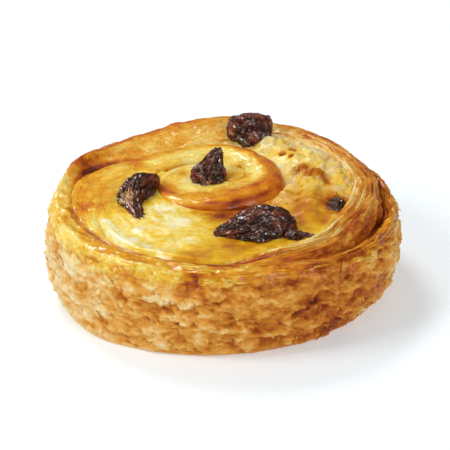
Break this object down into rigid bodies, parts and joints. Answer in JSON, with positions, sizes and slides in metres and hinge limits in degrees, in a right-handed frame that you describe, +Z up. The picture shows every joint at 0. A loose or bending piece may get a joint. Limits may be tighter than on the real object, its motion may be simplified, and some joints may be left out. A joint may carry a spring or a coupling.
{
  "type": "pain aux raisins",
  "caption": "Round spiral pastry of laminated dough with baked custard between its turns and raisins on top, lying on its flat base.",
  "frame": {"origin": "middle of the plan, on the surface that the pastry stands on", "axes": "+Z up; -Y is the side that faces the camera in the picture, +X is to its right"},
  "size_m": [0.0988, 0.0996, 0.0328],
  "materials": {
    "dough": "golden brown baked laminated dough with a thin egg wash, satin with glossy patches",
    "custard": "pale yellow baked custard, smooth and glossy, browned where it has puffed up",
    "raisin": "dark brown wrinkled skin, glossy with glaze"
  },
  "bodies": {
    "root": {"dough": "dough", "custard": "custard", "raisin_left": "raisin", "raisin_centre": "raisin", "raisin_back": "raisin", "raisin_front": "raisin", "raisin_front_small": "raisin", "raisin_right": "raisin"}
  },
  "joints": []
}
